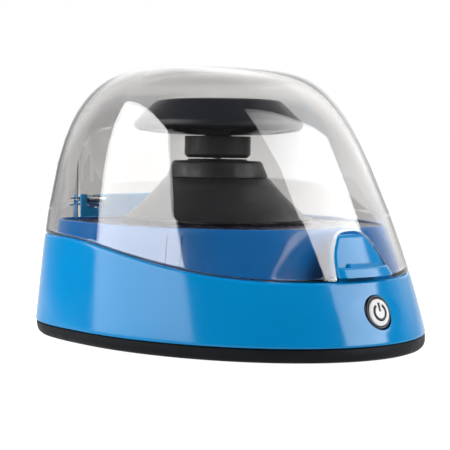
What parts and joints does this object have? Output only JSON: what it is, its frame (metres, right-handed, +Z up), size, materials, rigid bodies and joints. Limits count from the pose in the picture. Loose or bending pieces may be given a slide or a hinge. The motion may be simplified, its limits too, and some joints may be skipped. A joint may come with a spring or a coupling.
{
  "type": "mini centrifuge",
  "caption": "Egg-shaped bench mini centrifuge: blue base on a black plate, smoky clear hinged dome, tube rotor on a raised motor cone, front latch tab and power button.",
  "frame": {"origin": "on the bench, under the middle of the body's outline", "axes": "+Z up, -Y towards the latch and power button, +X to the right when facing the front"},
  "size_m": [0.1484, 0.1585, 0.1127],
  "materials": {
    "blue_plastic": "gloss",
    "clear_plastic": "polished clear, lightly smoked",
    "black_plastic": "satin",
    "rotor_plastic": "semi-gloss",
    "grey_plastic": "fine texture",
    "rubber": "matte",
    "red_lead": "matte",
    "board": "satin",
    "steel": "bright",
    "motor_steel": "satin"
  },
  "bodies": {
    "base": {"base_shell": "blue_plastic", "base_plate": "black_plastic", "bowl": "blue_plastic", "hinge_block": "blue_plastic", "hinge_pin": "steel", "motor_cover": "black_plastic", "cover_collar": "black_plastic", "motor_can": "motor_steel", "motor_end_cap": "black_plastic", "motor_bracket": "black_plastic", "motor_damper": "rubber", "latch_pin": "steel", "latch_spring": "steel", "button_bezel": "rotor_plastic", "button_switch": "black_plastic", "switch_board": "board", "main_board": "board", "capacitor": "black_plastic", "drive_transistor": "black_plastic", "lid_sensor": "black_plastic", "power_jack": "black_plastic", "motor_lead_red": "red_lead", "motor_lead_black": "rubber", "foot_front_left": "rubber", "foot_front_right": "rubber", "foot_rear_left": "rubber", "foot_rear_right": "rubber", "base_screw_1": "steel", "base_screw_2": "steel", "base_screw_3": "steel", "base_screw_4": "steel", "motor_screw_1": "steel", "motor_screw_2": "steel", "motor_screw_3": "steel"},
    "lid": {"lid": "clear_plastic"},
    "rotor": {"motor_shaft": "steel", "rotor_disc": "rotor_plastic", "rotor_hub": "black_plastic", "rotor_knob": "rotor_plastic"},
    "latch": {"latch_tab": "blue_plastic"},
    "button": {"power_button": "grey_plastic"}
  },
  "joints": [
    {"name": "lid_hinge", "type": "hinge", "parent": "base", "child": "lid", "pos_m": [0, 0.0755, 0.0545], "axis": [-1, 0, 0], "range_deg": [0, 92]},
    {"name": "rotor_spin", "type": "hinge", "parent": "base", "child": "rotor", "pos_m": [0, 0.02165, 0.088], "axis": [0, 0, 1], "continuous": true},
    {"name": "latch_press", "type": "hinge", "parent": "base", "child": "latch", "pos_m": [0, -0.0615, 0.025], "axis": [-1, 0, 0], "range_deg": [0, 6], "stiffness_Nm_per_rad": 0.2, "springref_deg": -2.86, "deforming": ["latch_spring"]},
    {"name": "button_press", "type": "slide", "parent": "base", "child": "button", "axis": [0, 0.9511, -0.309], "range_m": [0, 0.0009], "stiffness_N_per_m": 1500, "springref_m": -0.0003}
  ]
}
